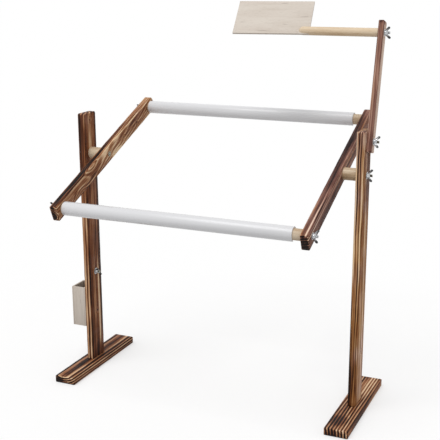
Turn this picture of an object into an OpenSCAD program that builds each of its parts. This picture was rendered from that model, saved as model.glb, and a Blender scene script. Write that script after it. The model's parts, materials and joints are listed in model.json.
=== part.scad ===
// Floor stand for embroidery: a tilting scroll frame between two torched pine legs,
// with a mast that carries a pattern plate and a small tool box on the other leg.
// X runs along the rollers, Y away from the sitter, Z up. The origin is on the floor,
// midway between the legs and under the pivots.

/* [Legs] */
// Thickness of the foot, leg and rail boards
board_t = 18; // [14:1:24]
// Width of a foot, which is also the depth of an upright
leg_w = 55; // [45:1:70]
// Length of a foot
foot_l = 300; // [240:5:400]
// Length of an upright
upright_l = 640; // [560:5:720]
// Distance of the pivot hole below the top of an upright
pivot_drop = 99; // [85:1:120]
// Radius of the rounded corners on top of an upright
upright_corner_r = 5; // [1:0.5:10]
// Width of the flat worn along every board edge
board_ease = 1.5; // [0.5:0.25:3]

/* [Work frame] */
// Length of the roller dowels, which is the space between the rails
dowel_l = 576; // [400:2:700]
// Diameter of the roller dowels
dowel_d = 25; // [22:0.5:30]
// Height of a rail
rail_h = 38; // [34:1:48]
// Length of a rail
rail_l = 510; // [440:5:560]
// Distance of a roller hole from the end of its rail
rail_end = 25; // [20:1:40]
// Radius of the rounded upper corner at the back of a rail
rail_corner_r = 12; // [4:1:16]
// Tilt of the frame, with its back raised
frame_tilt = 22.5; // [0:0.5:45]
// Length of a spacer, which is the space between a rail and its upright
spacer_l = 34; // [30:1:60]
// Diameter of a spacer
spacer_d = 28; // [22:1:34]

/* [Cloth clips] */
// Wall of a clip
clip_wall = 3.2; // [2:0.1:4]
// Room for the cloth between a clip and its dowel
clip_room = 0.3; // [0.2:0.1:0.8]
// Part of the circle left open, in degrees
clip_mouth = 100; // [60:5:140]
// Direction in which the mouth faces, in degrees down from straight back
clip_mouth_down = 60; // [30:5:90]
// Distance of a clip from the left rail
clip_inset = 4.5; // [2:0.5:20]
// Length of roller left bare between a clip and the right rail
clip_bare = 21.5; // [5:0.5:60]

/* [Mast and arm] */
// Thickness of the mast
mast_t = 12; // [9:1:18]
// Width of the mast
mast_w = 28; // [24:1:36]
// Distance of the mast bolt from the lower end of the mast
mast_heel = 24; // [18:1:36]
// Distance of the mast bolt below the top of the upright
mast_drop = 24; // [18:1:36]
// Distance of the arm bolt above the mast bolt
arm_rise = 235; // [180:1:320]
// Distance of the arm bolt from the upper end of the mast
mast_tip = 25; // [18:1:40]
// Backward lean of the mast
mast_lean = 14; // [0:1:40]
// Radius of the rounded upper corner at the back of the mast
mast_corner_r = 8; // [2:1:12]
// Diameter of the arm
arm_d = 19; // [16:0.5:24]
// Length of the arm
arm_l = 181; // [120:1:260]

/* [Pattern plate] */
// Width of the plate
plate_w = 174; // [120:1:240]
// Height of the plate
plate_h = 105; // [70:1:160]
// Thickness of the plate
plate_t = 4; // [3:0.5:6]
// Backward lean of the plate
plate_lean = 50; // [0:1:70]
// Turn of the plate about the upright direction
plate_turn = 10; // [0:1:15]
// Depth of the saw kerf that holds the plate in the end of the arm
kerf_depth = 24; // [16:1:36]
// Distance of the lower edge of the plate below the middle of the arm
plate_below = 11; // [9:0.5:20]

/* [Tool box] */
// Width of the box outwards from the upright
box_w = 38; // [30:1:80]
// Height of the box
box_h = 104; // [80:1:160]
// Thickness of the plywood
ply_t = 4; // [3:0.5:6]
// Width of the hanging tab
tab_w = 36; // [28:1:45]
// Height of the box bolt above the rim
tab_rise = 40; // [25:1:60]
// Height of the box bolt above the foot
box_bolt_rise = 233; // [200:1:330]

/* [Hardware] */
// Diameter of every bolt
bolt_d = 6; // [5:0.5:8]
// Length of bolt that stands out past the clamped wood
bolt_reach = 13; // [11:0.5:18]
// Length of a hanger bolt inside its dowel
hanger_l = 28; // [20:1:40]
// Diameter of a washer
washer_d = 16; // [14:0.5:20]
// Thickness of a washer
washer_t = 1.2; // [1:0.1:2]
// Span of a wing nut across its wings
wing_span = 28; // [24:1:32]
// Height of a wing nut to its wing tips
wing_h = 12; // [10:0.5:14]
// Thickness of a wing
wing_t = 2.4; // [1.6:0.1:3]
// Radius of the round tip of a wing
wing_tip_r = 3.25; // [2:0.25:4]
// Diameter of a wing nut's hub at its foot
hub_d = 11; // [10:0.5:13]
// Diameter of the hub at its top
hub_top_d = 9; // [8:0.5:10]
// Height of a wing nut's hub
hub_h = 6.5; // [5:0.5:9]
// Diameter of a bolt's round head
head_d = 13; // [12:0.5:16]
// Height of a bolt's round head
head_h = 3; // [2:0.5:4]
// Diameter of the screws that hold an upright on its foot
screw_d = 4; // [3:0.5:5]
// Length of those screws
screw_l = 50; // [35:1:70]
// Diameter of the brads in the tool box
brad_d = 1.2; // [0.8:0.1:1.6]
// Length of the brads
brad_l = 16; // [10:1:22]

/* [Hidden] */
$fn = 48;

// Radial clearance of a bolt in a hole, and of a piece let into another
run_gap = 0.05;
// Clearance between a rail and the rollers and spacer that its faces turn on
face_gap = 0.02;
// Extra length of a cut that has to pass right through a face
past = 1;
bore_d = bolt_d + 2 * run_gap;

// Places along X
rail_in_x = dowel_l / 2 + face_gap;
rail_out_x = rail_in_x + board_t;
upright_in_x = rail_out_x + face_gap + spacer_l;
upright_out_x = upright_in_x + board_t;
mast_out_x = upright_out_x + mast_t;
foot_mid_x = upright_in_x + board_t / 2;
arm_tip_x = upright_out_x - arm_l;
box_out_x = upright_out_x + box_w;
clip_left_x = clip_inset - dowel_l / 2;

// Heights
upright_top_z = board_t + upright_l;
pivot_z = upright_top_z - pivot_drop;
mast_bolt_z = upright_top_z - mast_drop;
box_bolt_z = board_t + box_bolt_rise;
box_rim_z = box_bolt_z - tab_rise;
box_floor_z = box_rim_z - box_h;

// Work frame
roller_y = rail_l / 2 - rail_end;
clip_in_r = dowel_d / 2 + clip_room;
clip_out_r = clip_in_r + clip_wall;
clip_l = dowel_l - clip_inset - clip_bare;

// Mast, and the middle of the arm
mast_l = mast_heel + arm_rise + mast_tip;
arm_y = arm_rise * sin(mast_lean);
arm_z = mast_bolt_z + arm_rise * cos(mast_lean);

// Bolts and screws
neck_l = 3;
point_l = bolt_d;
point_d = bolt_d / 3;
screw_head_d = 2 * screw_d;
screw_head_h = screw_d / 2;
screw_point_l = screw_d;
screw_point_d = screw_d / 4;
screw_sink = 1;
screw_y = leg_w / 4;

// Tool box: places of the brads up a wall and across the bottom, as parts of its height and width
brad_heights = [0.2, 0.5, 0.85];
brad_widths = [0.3, 0.7];

// Turn of each wing nut about +X, zero with its wings upright
pivot_nut_turn = -12;
front_left_nut_turn = 25;
front_right_nut_turn = -20;
back_left_nut_turn = 65;
back_right_nut_turn = -50;
mast_nut_turn = -34;
arm_nut_turn = 20;
box_nut_turn = 40;

// Moves its children onto an axis along X, with +Z turned outwards on that side
module outwards(side, x, y = 0, z = 0) {
    translate([side * x, y, z]) rotate([0, side * 90, 0]) children();
}

// Moves its children from the pivot axis at the origin onto the tilted work frame
module on_frame() {
    translate([0, 0, pivot_z]) rotate([frame_tilt, 0, 0]) children();
}

// Moves its children from the mast bolt at the origin onto the leaning mast
module on_mast() {
    translate([0, 0, mast_bolt_z]) rotate([-mast_lean, 0, 0]) children();
}

// Moves its children onto the plate's plane, with the origin in the middle of the arm
module on_plate() {
    translate([arm_tip_x + kerf_depth / 2, arm_y, arm_z])
        rotate([0, 0, plate_turn])
            rotate([-plate_lean, 0, 0])
                children();
}

// Rectangle centred on the origin with its corners cut off
module eased_rect(a, b, ease) {
    x = a / 2;
    y = b / 2;
    polygon([
        [ease - x, -y], [x - ease, -y], [x, ease - y], [x, y - ease],
        [x - ease, y], [ease - x, y], [-x, y - ease], [-x, ease - y]
    ]);
}

// Board centred on the origin with every edge eased
module board(a, b, c) {
    intersection() {
        translate([0, 0, -c / 2]) linear_extrude(c) eased_rect(a, b, board_ease);
        rotate([90, 0, 90]) translate([0, 0, -a / 2]) linear_extrude(a) eased_rect(b, c, board_ease);
        rotate([90, 0, 0]) translate([0, 0, -b / 2]) linear_extrude(b) eased_rect(a, c, board_ease);
    }
}

// Waste outside a round corner at (y, z), through a board that is t thick at x.
// The signs say to which side the corner points.
module corner_waste(x, t, y, z, r, sy, sz) {
    translate([x - t / 2 - past, y - sy * r, z - sz * r])
        rotate([90, 0, 90])
            linear_extrude(t + 2 * past)
                difference() {
                    scale([sy, sz]) square(r + past);
                    circle(r);
                }
}

// Hole along X through everything between two places
module bore_x(x0, x1, y, z, d = bore_d) {
    translate([min(x0, x1), y, z]) rotate([0, 90, 0]) cylinder(d = d, h = abs(x1 - x0));
}

// Square recess for a bolt's neck, which starts at a face and runs inwards
module neck_recess(side, x) {
    outwards(side, x) {
        translate([0, 0, (neck_l - past) / 2])
            cube([bore_d, bore_d, neck_l + past], center = true);
    }
}

// Round-headed bolt with a square neck: the head stands on z = 0 and the shank runs up.
// The head is the part of a sphere that has its width and height.
module carriage_bolt(length) {
    dome_r = (head_d * head_d / 4 + head_h * head_h) / (2 * head_h);
    cylinder(d = bolt_d, h = length);
    translate([0, 0, neck_l / 2]) cube([bolt_d, bolt_d, neck_l], center = true);
    intersection() {
        translate([0, 0, dome_r - head_h]) sphere(dome_r);
        translate([0, 0, -head_h]) cylinder(d = head_d, h = head_h);
    }
}

// Hanger bolt: wood screw with a point below z = 0 and machine thread above
module hanger_bolt(length) {
    translate([0, 0, point_l - hanger_l]) cylinder(d = bolt_d, h = hanger_l - point_l + length);
    translate([0, 0, -hanger_l]) cylinder(d1 = point_d, d2 = bolt_d, h = point_l);
}

// Hole for the wood screw of a hanger bolt, down from a dowel's end at z = 0
module hanger_hole() {
    translate([0, 0, -hanger_l]) cylinder(d = bore_d, h = hanger_l + past);
}

module washer() {
    difference() {
        cylinder(d = washer_d, h = washer_t);
        translate([0, 0, -past]) cylinder(d = bore_d, h = washer_t + 2 * past);
    }
}

// One wing seen flat: it rises from the middle of the hub to a round tip, which its lower
// and its upper edge touch at those angles
module wing_outline() {
    tip_x = wing_span / 2 - wing_tip_r;
    tip_y = wing_h - wing_tip_r;
    low = -30;
    high = 120;
    polygon([
        [0, 0], [hub_d / 2, 0],
        [tip_x + wing_tip_r * cos(low), tip_y + wing_tip_r * sin(low)],
        [tip_x + wing_tip_r * cos(high), tip_y + wing_tip_r * sin(high)],
        [0, hub_h - wing_t / 2]
    ]);
    translate([tip_x, tip_y]) circle(wing_tip_r);
}

// Wing nut on z = 0, with its wings along X
module wing_nut() {
    difference() {
        union() {
            cylinder(d1 = hub_d, d2 = hub_top_d, h = hub_h);
            for (turn = [0, 180])
                rotate([90, 0, turn])
                    translate([0, 0, -wing_t / 2])
                        linear_extrude(wing_t) wing_outline();
        }
        translate([0, 0, -past]) cylinder(d = bore_d, h = wing_h + 2 * past);
    }
}

// Wing nut on a washer at x, turned about +X
module placed_nut(side, x, turn) {
    color("silver")
        rotate([turn, 0, 0])
            outwards(side, x + washer_t) wing_nut();
}

// Countersunk screw: the head is in z = 0 and the shank runs up
module wood_screw(gap = 0) {
    cylinder(d = screw_d + 2 * gap, h = screw_l - screw_point_l);
    cylinder(d1 = screw_head_d + 2 * gap, d2 = screw_d + 2 * gap, h = screw_head_h);
    translate([0, 0, screw_l - screw_point_l])
        cylinder(d1 = screw_d + 2 * gap, d2 = screw_point_d + 2 * gap, h = screw_point_l);
}

// The two screws under an upright, or the holes that they need
module screws(side, gap = 0) {
    for (sy = [-1, 1])
        translate([side * foot_mid_x, sy * screw_y, screw_sink]) wood_screw(gap);
}

module foot(side) {
    color("#4a3226")
        difference() {
            translate([side * foot_mid_x, 0, board_t / 2]) board(leg_w, foot_l, board_t);
            screws(side, run_gap);
            for (sy = [-1, 1])
                translate([side * foot_mid_x, sy * screw_y, -past])
                    cylinder(d = screw_head_d + 2 * run_gap, h = screw_sink + past);
        }
}

// Upright with its pivot hole and one hole for the mast bolt or the box bolt
module upright(side, hole_z) {
    color("#6b4630")
        difference() {
            translate([side * foot_mid_x, 0, board_t + upright_l / 2]) board(board_t, leg_w, upright_l);
            for (sy = [-1, 1])
                corner_waste(side * foot_mid_x, board_t, sy * leg_w / 2, upright_top_z, upright_corner_r, sy, 1);
            for (z = [pivot_z, hole_z])
                bore_x(side * (upright_in_x - past), side * (upright_out_x + past), 0, z);
            screws(side, run_gap);
            children();
        }
}

module left_upright() {
    upright(-1, box_bolt_z);
}

module right_upright() {
    upright(1, mast_bolt_z) translate([0, 0, mast_bolt_z]) neck_recess(1, upright_in_x);
}

module foot_screws() {
    color("goldenrod") {
        screws(-1);
        screws(1);
    }
}

module spacer(side) {
    color("#cdb68e")
        difference() {
            outwards(side, rail_out_x + face_gap, 0, pivot_z) cylinder(d = spacer_d, h = spacer_l);
            bore_x(side * (rail_out_x - past), side * (upright_in_x + past), 0, pivot_z);
        }
}

module rail(side) {
    mid_x = side * (rail_in_x + board_t / 2);
    color("#6b4630")
        on_frame()
            difference() {
                translate([mid_x, 0, 0]) board(board_t, rail_l, rail_h);
                corner_waste(mid_x, board_t, rail_l / 2, rail_h / 2, rail_corner_r, 1, 1);
                for (y = [-roller_y, 0, roller_y])
                    bore_x(side * (rail_in_x - past), side * (rail_out_x + past), y, 0);
                neck_recess(side, rail_in_x);
            }
}

module pivot_bolts() {
    color("silver")
        for (side = [-1, 1])
            on_frame() outwards(side, rail_in_x) carriage_bolt(upright_out_x - rail_in_x + bolt_reach);
}

module pivot_washers() {
    color("silver")
        for (side = [-1, 1])
            outwards(side, upright_out_x, 0, pivot_z) washer();
}

module pivot_nut(side) {
    translate([0, 0, pivot_z]) placed_nut(side, upright_out_x, pivot_nut_turn);
}

// Moves its children from the origin onto the roller at the front (-1) or the back (1)
module on_roller(end) {
    on_frame() translate([0, end * roller_y, 0]) rotate([-frame_tilt, 0, 0]) children();
}

module roller_dowel(end) {
    color("#d8c39a")
        on_roller(end)
            difference() {
                translate([-dowel_l / 2, 0, 0]) rotate([0, 90, 0]) cylinder(d = dowel_d, h = dowel_l);
                for (side = [-1, 1])
                    outwards(side, dowel_l / 2) hanger_hole();
            }
}

module hanger_bolts(end) {
    color("silver")
        on_roller(end)
            for (side = [-1, 1])
                outwards(side, dowel_l / 2) hanger_bolt(board_t + bolt_reach);
}

module roller_washers() {
    color("silver")
        for (end = [-1, 1], side = [-1, 1])
            on_roller(end) outwards(side, rail_out_x) washer();
}

module roller_nut(end, side, turn) {
    on_roller(end) placed_nut(side, rail_out_x, turn);
}

// Push-on clip over a dowel: a tube with a mouth along its whole length
module clip(end) {
    reach = 2 * clip_out_r;
    half = clip_mouth / 2;
    color("#dcdcde")
        on_roller(end)
            translate([clip_left_x, 0, 0])
                rotate([90, 0, 90])
                    linear_extrude(clip_l)
                        difference() {
                            circle(clip_out_r);
                            circle(clip_in_r);
                            rotate(-clip_mouth_down)
                                polygon([
                                    [0, 0], [reach * cos(half), -reach * sin(half)],
                                    [reach, -reach * sin(half)], [reach, reach * sin(half)],
                                    [reach * cos(half), reach * sin(half)]
                                ]);
                        }
}

module mast() {
    mid_x = upright_out_x + mast_t / 2;
    top = mast_l - mast_heel;
    color("#6e4433")
        on_mast()
            difference() {
                translate([mid_x, 0, top - mast_l / 2]) board(mast_t, mast_w, mast_l);
                corner_waste(mid_x, mast_t, mast_w / 2, top, mast_corner_r, 1, 1);
                for (z = [0, arm_rise])
                    bore_x(upright_out_x - past, mast_out_x + past, 0, z);
            }
}

module mast_bolt() {
    color("silver")
        translate([0, 0, mast_bolt_z])
            outwards(1, upright_in_x) carriage_bolt(mast_out_x - upright_in_x + bolt_reach);
}

module mast_washer() {
    color("silver") outwards(1, mast_out_x, 0, mast_bolt_z) washer();
}

module mast_nut() {
    translate([0, 0, mast_bolt_z]) placed_nut(1, mast_out_x, mast_nut_turn);
}

// Arm with a round end, and through that end the kerf that the plate stands in
module arm_dowel() {
    kerf_h = 4 * arm_d;
    color("#d8c39a")
        difference() {
            translate([0, arm_y, arm_z]) {
                translate([arm_tip_x + arm_d / 2, 0, 0]) {
                    rotate([0, 90, 0]) cylinder(d = arm_d, h = arm_l - arm_d / 2);
                    sphere(d = arm_d);
                }
            }
            outwards(1, upright_out_x, arm_y, arm_z) hanger_hole();
            on_plate()
                translate([kerf_depth / 2 - plate_w, -plate_t / 2 - run_gap, -kerf_h / 2])
                    cube([plate_w + run_gap, plate_t + 2 * run_gap, kerf_h]);
        }
}

module arm_bolt() {
    color("silver") outwards(1, upright_out_x, arm_y, arm_z) hanger_bolt(mast_t + bolt_reach);
}

module arm_washer() {
    color("silver") outwards(1, mast_out_x, arm_y, arm_z) washer();
}

module arm_nut() {
    translate([0, arm_y, arm_z]) placed_nut(1, mast_out_x, arm_nut_turn);
}

module pattern_plate() {
    color("#dad1c6")
        on_plate()
            translate([kerf_depth / 2 - plate_w, -plate_t / 2, -plate_below])
                cube([plate_w, plate_t, plate_h]);
}

// Brads through the outer and the back board into the edges of the front and rear walls,
// and up through the bottom into the same walls
module brads(gap = 0) {
    wall_mid_y = (leg_w - ply_t) / 2;
    for (sy = [-1, 1]) {
        for (h = brad_heights) {
            translate([0, sy * wall_mid_y, box_floor_z + h * box_h]) {
                outwards(-1, box_out_x) brad(gap);
                outwards(1, -upright_out_x) brad(gap);
            }
        }
        for (w = brad_widths)
            translate([-upright_out_x - w * box_w, sy * wall_mid_y, box_floor_z])
                rotate([180, 0, 0]) brad(gap);
    }
}

// One brad that runs down from z = 0
module brad(gap) {
    translate([0, 0, -brad_l]) cylinder(d = brad_d + 2 * gap, h = brad_l);
}

// A wall of the tool box between two corners, without its brad holes
module ply(low, high) {
    color("#c9bfae")
        difference() {
            translate(low) cube(high - low);
            brads(run_gap);
        }
}

// Back board, with the tab that hangs it on the upright
module box_back() {
    difference() {
        union() {
            ply([-upright_out_x - ply_t, -leg_w / 2, box_floor_z], [-upright_out_x, leg_w / 2, box_rim_z]);
            color("#c9bfae") {
                translate([-upright_out_x - ply_t, -tab_w / 2, box_rim_z]) cube([ply_t, tab_w, tab_rise]);
                outwards(-1, upright_out_x, 0, box_bolt_z) cylinder(d = tab_w, h = ply_t);
            }
        }
        bore_x(-upright_out_x - ply_t - past, past - upright_out_x, 0, box_bolt_z);
        translate([0, 0, box_bolt_z]) neck_recess(1, -upright_out_x - ply_t);
    }
}

// Front or rear wall, which stands on the bottom
module box_wall(sy) {
    y = (leg_w - ply_t) / 2 * sy;
    ply(
        [ply_t - box_out_x, y - ply_t / 2, box_floor_z + ply_t],
        [-upright_out_x - ply_t, y + ply_t / 2, box_rim_z]
    );
}

module box_outer() {
    ply([-box_out_x, -leg_w / 2, box_floor_z], [ply_t - box_out_x, leg_w / 2, box_rim_z]);
}

module box_bottom() {
    ply(
        [ply_t - box_out_x, -leg_w / 2, box_floor_z],
        [-upright_out_x - ply_t, leg_w / 2, box_floor_z + ply_t]
    );
}

module box_brads() {
    color("silver") brads();
}

module box_bolt() {
    color("silver")
        translate([0, 0, box_bolt_z])
            outwards(1, -upright_out_x - ply_t) carriage_bolt(ply_t + board_t + bolt_reach);
}

module box_washer() {
    color("silver") outwards(1, -upright_in_x, 0, box_bolt_z) washer();
}

module box_nut() {
    translate([0, 0, box_bolt_z]) placed_nut(1, -upright_in_x, box_nut_turn);
}

foot(-1);  // left_foot
foot(1);  // right_foot
left_upright();
right_upright();
foot_screws();
spacer(-1);  // left_spacer
spacer(1);  // right_spacer
rail(-1);  // left_rail
rail(1);  // right_rail
pivot_bolts();
pivot_washers();
pivot_nut(-1);  // left_pivot_nut
pivot_nut(1);  // right_pivot_nut
roller_dowel(-1);  // front_dowel
roller_dowel(1);  // back_dowel
clip(-1);  // front_clip
clip(1);  // back_clip
hanger_bolts(-1);  // front_hanger_bolts
hanger_bolts(1);  // back_hanger_bolts
roller_washers();
roller_nut(-1, -1, front_left_nut_turn);  // front_left_nut
roller_nut(-1, 1, front_right_nut_turn);  // front_right_nut
roller_nut(1, -1, back_left_nut_turn);  // back_left_nut
roller_nut(1, 1, back_right_nut_turn);  // back_right_nut
mast();
mast_bolt();
mast_washer();
mast_nut();
arm_dowel();
arm_bolt();
arm_washer();
arm_nut();
pattern_plate();
box_back();
box_wall(-1);  // box_front
box_wall(1);  // box_rear
box_outer();
box_bottom();
box_brads();
box_bolt();
box_washer();
box_nut();
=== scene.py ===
# %% [markdown]
# # A floor stand for embroidery
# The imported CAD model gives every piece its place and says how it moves. This script dresses
# it: it builds the torched pine boards, the birch rollers, the cloth clips, the plywood and the
# zinc plated hardware in the same metres, and each new piece rides on the body that it belongs to.

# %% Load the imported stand
import json
import math

import bmesh
import bpy
from mathutils import Matrix, Vector, noise


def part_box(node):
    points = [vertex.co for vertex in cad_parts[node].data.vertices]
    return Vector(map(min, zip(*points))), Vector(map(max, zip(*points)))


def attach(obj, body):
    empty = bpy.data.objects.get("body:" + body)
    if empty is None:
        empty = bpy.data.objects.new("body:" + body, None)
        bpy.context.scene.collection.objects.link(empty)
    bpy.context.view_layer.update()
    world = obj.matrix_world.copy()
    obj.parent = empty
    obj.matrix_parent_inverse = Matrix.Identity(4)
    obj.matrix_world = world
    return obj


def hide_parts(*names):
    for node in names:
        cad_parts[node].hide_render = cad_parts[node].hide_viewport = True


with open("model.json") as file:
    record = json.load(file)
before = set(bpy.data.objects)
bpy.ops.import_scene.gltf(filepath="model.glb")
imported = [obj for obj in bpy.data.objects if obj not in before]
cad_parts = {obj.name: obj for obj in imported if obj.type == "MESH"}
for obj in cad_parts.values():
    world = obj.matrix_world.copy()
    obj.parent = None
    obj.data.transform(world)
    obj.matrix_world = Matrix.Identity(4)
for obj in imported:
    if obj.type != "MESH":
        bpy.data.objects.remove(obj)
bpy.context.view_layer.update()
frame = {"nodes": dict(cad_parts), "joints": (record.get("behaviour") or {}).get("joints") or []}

MM = 0.001
joints = {joint["name"]: Vector(joint["pos_m"]) for joint in frame["joints"] if "pos_m" in joint}

# %% [markdown]
# ## The camera
# A camera can be set by eye, but the place of this one was worked out from the edges of the
# boards: it stands to the right of the stand, about two metres away, and looks slightly down.
# A long lens keeps the uprights nearly parallel. The lens is given for a sensor of 36 mm.

# %% Camera
SENSOR = 36
FRAME_PIXELS = 440
FOCAL_PIXELS = 929.938
CAMERA_PLACE = (0.864766, -1.946308, 0.987563)
CAMERA_TURN = math.radians(23.765)
CAMERA_TIP = math.radians(75.105)
CAMERA_ROLL = math.radians(-0.181)


def put_in_scene(name, data):
    """A new object in the scene, for a camera, a light or a mesh."""
    made = bpy.data.objects.new(name, data)
    bpy.context.scene.collection.objects.link(made)
    return made


camera_data = bpy.data.cameras.new("camera")
camera_data.sensor_width = SENSOR
camera_data.lens = FOCAL_PIXELS * SENSOR / FRAME_PIXELS
camera = put_in_scene("camera", camera_data)
turn = Matrix.Rotation(CAMERA_TURN, 4, "Z")
tip = Matrix.Rotation(CAMERA_TIP, 4, "X")
roll = Matrix.Rotation(CAMERA_ROLL, 4, "Z")
camera.matrix_world = Matrix.Translation(CAMERA_PLACE) @ turn @ tip @ roll
bpy.context.scene.camera = camera
bpy.context.scene.view_settings.view_transform = "Standard"
print("lens", round(camera_data.lens, 2), "mm")

# %% [markdown]
# ## Adding shader nodes
# Every finish below is a small network of shader nodes. Colours are written as the hex values
# that a paint program shows. Blender mixes light in linear numbers, so one function turns them.
# Another adds a node, sets its choices, and fills or links its inputs. That is all the help
# that the materials need.

# %% Colours and nodes
def linear(hex_colour):
    """The linear colour of an sRGB hex value."""
    parts = [int(hex_colour[i:i + 2], 16) / 255 for i in (1, 3, 5)]
    return [p / 12.92 if p <= 0.04045 else ((p + 0.055) / 1.055) ** 2.4 for p in parts] + [1]


def new_material(name):
    """An empty material and its Principled shader."""
    material = bpy.data.materials.new(name)
    material.use_nodes = True
    return material, material.node_tree.nodes["Principled BSDF"]


def feed(material, node, inputs):
    """Fills inputs with values, or links them. A node stands for its first output in use."""
    for name, value in inputs.items():
        if isinstance(value, bpy.types.Node):
            value = next(output for output in value.outputs if output.enabled)
        if isinstance(value, bpy.types.NodeSocket):
            material.node_tree.links.new(value, node.inputs[name])
        else:
            node.inputs[name].default_value = value


def add(material, kind, inputs=None, stops=None, **choices):
    """Adds a node, with its choices and its inputs. Stops are the places and colours of a ramp."""
    node = material.node_tree.nodes.new("ShaderNode" + kind)
    for name, choice in choices.items():
        setattr(node, name, choice)
    feed(material, node, inputs or {})
    if stops:
        elements = node.color_ramp.elements
        while len(elements) < len(stops):
            elements.new(1)
        for element, (position, colour) in zip(elements, stops):
            element.position = position
            element.color = linear(colour)
    return node


WHITE = linear("#ffffff")
print("mid grey is", round(linear("#808080")[0], 3), "in linear light")

# %% [markdown]
# ## Light
# The object has to look right under other lights too, so the light here is plain: an even sky
# and one wide, high sun. A surface that faces up then renders about as its colour is written,
# and upright faces come out a third darker, as in a light tent.
#
# The background is white, but that white doesn't come from more light. The sky is white only
# for the rays that look at it, from the camera, a mirror or glass, by the Light Path node.

# %% Sky and sun
SKY = 0.58
SUN = 1.45
SUN_WIDTH = math.radians(40)
SUN_TILT = math.radians(26)
SUN_TURN = math.radians(-14)
UPWARD_LIGHT = SKY + SUN * math.cos(SUN_TILT) / math.pi


def looking_rays(material):
    """1 for a ray from the camera, a mirror or glass, and 0 for one that carries light."""
    ray = add(material, "LightPath").outputs
    looking = add(material, "Math", {0: ray["Is Camera Ray"], 1: ray["Is Glossy Ray"]}, operation="ADD")
    return add(material, "Math", {0: looking, 1: ray["Is Transmission Ray"]}, operation="ADD",
               use_clamp=True)


world = bpy.data.worlds.new("light_tent")
bpy.context.scene.world = world
world.use_nodes = True
level = add(world, "MapRange", {"Value": looking_rays(world), "To Min": SKY, "To Max": 1})
feed(world, world.node_tree.nodes["Background"], {"Color": WHITE, "Strength": level})

sun_data = bpy.data.lights.new("sun", "SUN")
sun_data.energy = SUN
sun_data.angle = SUN_WIDTH
sun = put_in_scene("sun", sun_data)
sun.matrix_world = Matrix.Rotation(SUN_TURN, 4, "Z") @ Matrix.Rotation(SUN_TILT, 4, "X")
print("a white face that looks up is lit to", round(UPWARD_LIGHT, 2))

# %% [markdown]
# ## The floor
# The floor is a wide sheet of matt paper. It glows by what its own shading leaves short of
# white, and only for the rays that look at it. So it reads as white, but its diffuse part
# still takes the stand's soft shadow.

# %% Floor
FLOOR_GREY = 0.55
FLOOR_REACH = 30
FLOOR_DROP = 0.2 * MM


def mesh_from(name, bm):
    """Writes a bmesh to a new mesh and frees it."""
    mesh = bpy.data.meshes.new(name)
    bm.to_mesh(mesh)
    bm.free()
    return mesh


sheet = bmesh.new()
bmesh.ops.create_grid(sheet, x_segments=1, y_segments=1, size=FLOOR_REACH)
bmesh.ops.translate(sheet, verts=sheet.verts, vec=(0, 0, -FLOOR_DROP))
floor = put_in_scene("floor", mesh_from("floor", sheet))

paper, shader = new_material("matt white paper")
short = 1 - FLOOR_GREY * UPWARD_LIGHT
glow = add(paper, "Math", {0: looking_rays(paper), 1: short}, operation="MULTIPLY")
feed(paper, shader, {"Base Color": (FLOOR_GREY, FLOOR_GREY, FLOOR_GREY, 1), "Roughness": 1,
                     "Specular IOR Level": 0, "Emission Color": WHITE, "Emission Strength": glow})
floor.data.materials.append(paper)
print("the floor glows by", round(short, 2))

# %% [markdown]
# ## Making a piece
# Each piece is drawn in axes of its own, where it is easy to think about, and one matrix then
# takes its mesh to its place on the stand. The object itself stays at the origin, unturned, so
# that Object coordinates mean the same everywhere and the patterns of the materials stay put.
#
# Flat faces and round ones meet on many pieces. Smooth shading with the sharp edges marked by
# their angle shows both as they are.

# %% Axes and pieces
X, Y, Z = Vector((1, 0, 0)), Vector((0, 1, 0)), Vector((0, 0, 1))
MERGE = 0.002 * MM
SHARP = math.radians(35)


def axes(x, y, z, origin):
    """The matrix that takes a piece's own axes to these directions, at that origin."""
    matrix = Matrix((x, y, z)).transposed().to_4x4()
    matrix.translation = origin
    return matrix


def placed(bm, matrix):
    """The same mesh, moved and turned by a matrix."""
    bmesh.ops.transform(bm, matrix=matrix, verts=bm.verts)
    return bm


def piece(name, bm, place, material, body, node):
    """Makes a mesh in its own axes a piece of the stand, which stands for a CAD node."""
    bmesh.ops.remove_doubles(bm, verts=bm.verts, dist=MERGE)
    placed(bm, place)
    bmesh.ops.recalc_face_normals(bm, faces=bm.faces)
    mesh = mesh_from(name, bm)
    mesh.shade_smooth()
    mesh.set_sharp_from_angle(angle=SHARP)
    mesh.materials.append(material)
    made = put_in_scene(name, mesh)
    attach(made, body)
    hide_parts(node)


print("pieces merge points closer than", MERGE / MM, "mm")

# %% [markdown]
# ## Sawing and rounding
# Many pieces start as a block of wood, which is Blender's cube at its real size. Edges are
# rounded with a bevel. A Boolean modifier cuts one mesh with another, which is the quickest way
# to a clean hole.

# %% Saw, plane and drill
# Faces that meet at more than this angle have an edge between them, in radians
EDGE_ANGLE = 0.6


def block(x, y, z):
    """A block of this size round the origin."""
    bm = bmesh.new()
    bmesh.ops.create_cube(bm, size=1)
    bmesh.ops.scale(bm, vec=(x, y, z), verts=bm.verts)
    return bm


def sharp_edges(bm, angle=EDGE_ANGLE):
    """The edges where two faces meet at more than an angle."""
    return [e for e in bm.edges if e.calc_face_angle() > angle]


def round_edges(bm, edges, radius, segments):
    """Rounds edges."""
    bmesh.ops.bevel(bm, geom=edges, affect="EDGES", offset=radius, segments=segments, profile=0.5,
                    material=-1)


def boolean(bm, tool, operation):
    """Cuts a mesh with another closed mesh, or joins the two, and returns the result."""
    objects = [put_in_scene("solid", mesh_from("solid", source)) for source in (bm, tool)]
    modifier = objects[0].modifiers.new("boolean", "BOOLEAN")
    modifier.operation = operation
    modifier.object = objects[1]
    modifier.solver = "EXACT"
    bpy.context.view_layer.update()
    result = bmesh.new()
    result.from_object(objects[0], bpy.context.evaluated_depsgraph_get())
    for used in objects:
        mesh = used.data
        bpy.data.objects.remove(used)
        bpy.data.meshes.remove(mesh)
    return result


print("edges over", round(math.degrees(EDGE_ANGLE)), "degrees are rounded")

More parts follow.
